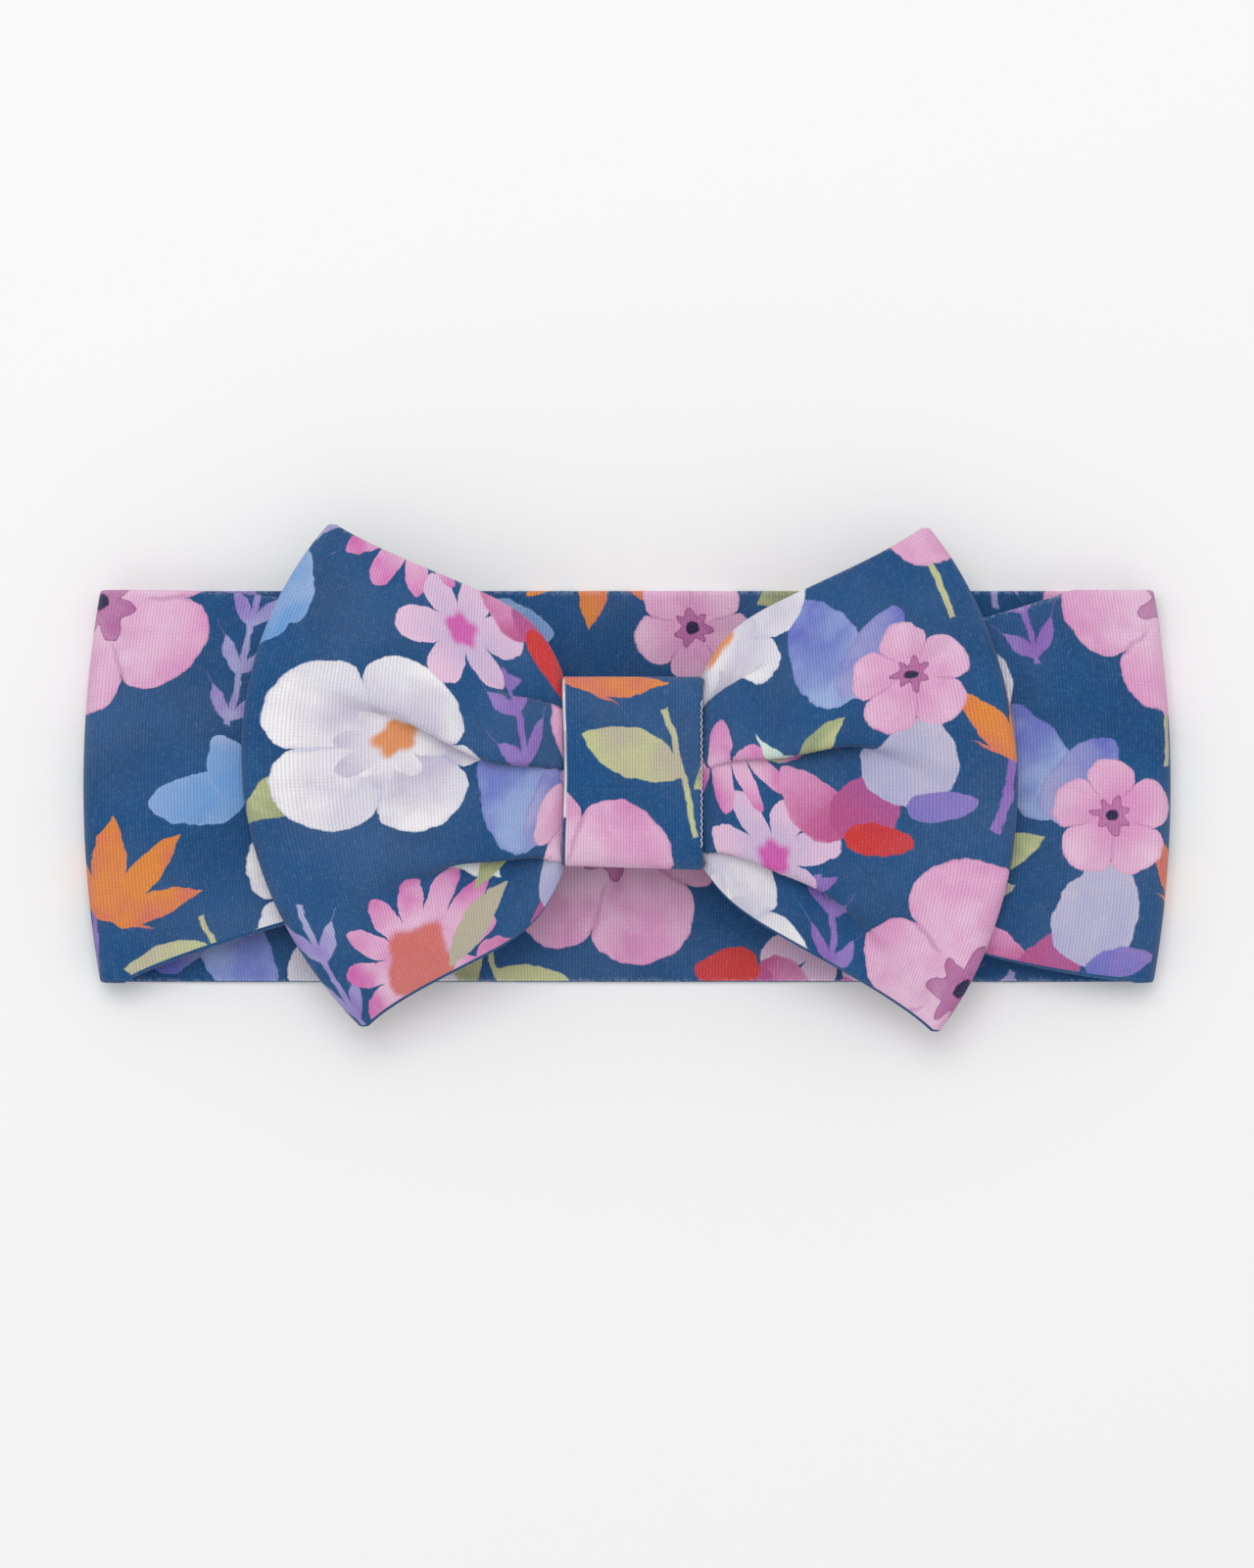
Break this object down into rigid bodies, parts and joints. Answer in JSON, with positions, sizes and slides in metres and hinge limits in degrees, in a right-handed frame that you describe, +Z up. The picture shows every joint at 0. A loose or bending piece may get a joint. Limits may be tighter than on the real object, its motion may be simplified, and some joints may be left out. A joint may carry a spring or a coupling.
{
  "type": "bow headband",
  "caption": "Stretch jersey head wrap for a baby, a flat ring of doubled cloth with a flat bow held on by a sewn centre wrap.",
  "frame": {"origin": "on the table under the middle of the flat-lying headband's box", "axes": "+X along the band, +Y across the band towards the upper edge of the bow, +Z up out of the bow's face"},
  "size_m": [0.1784, 0.0832, 0.0208],
  "materials": {
    "band_jersey": "matte printed knit, floral print on blue",
    "bow_jersey": "matte printed knit, floral print on blue",
    "wrap_jersey": "matte printed knit, stretched, floral print on blue",
    "sewing_thread": "matte thread"
  },
  "bodies": {
    "band_back": {"band_back": "band_jersey", "side_fold_left": "band_jersey", "side_fold_right": "band_jersey"},
    "front": {"band_front_left": "band_jersey", "band_front_right": "band_jersey", "band_gathers": "band_jersey", "band_end_seam": "sewing_thread", "bow_gathers": "bow_jersey", "bow_end_seam": "sewing_thread", "bow_pleat_seam": "sewing_thread", "centre_wrap": "wrap_jersey", "wrap_closing_stitches": "sewing_thread", "wrap_edge_stitches": "sewing_thread"},
    "left_loop": {"bow_loop_left": "bow_jersey"},
    "right_loop": {"bow_loop_right": "bow_jersey"}
  },
  "joints": [
    {"name": "front_lift", "type": "slide", "parent": "band_back", "child": "front", "axis": [0, 0, 1], "range_m": [0, 0.045], "deforming": ["side_fold_left", "side_fold_right"]},
    {"name": "left_loop_lift", "type": "hinge", "parent": "front", "child": "left_loop", "pos_m": [-0.01135, 0, 0.0188], "axis": [0, 1, 0], "range_deg": [0, 80]},
    {"name": "right_loop_lift", "type": "hinge", "parent": "front", "child": "right_loop", "pos_m": [0.01315, 0, 0.0188], "axis": [0, -1, 0], "range_deg": [0, 80]}
  ]
}
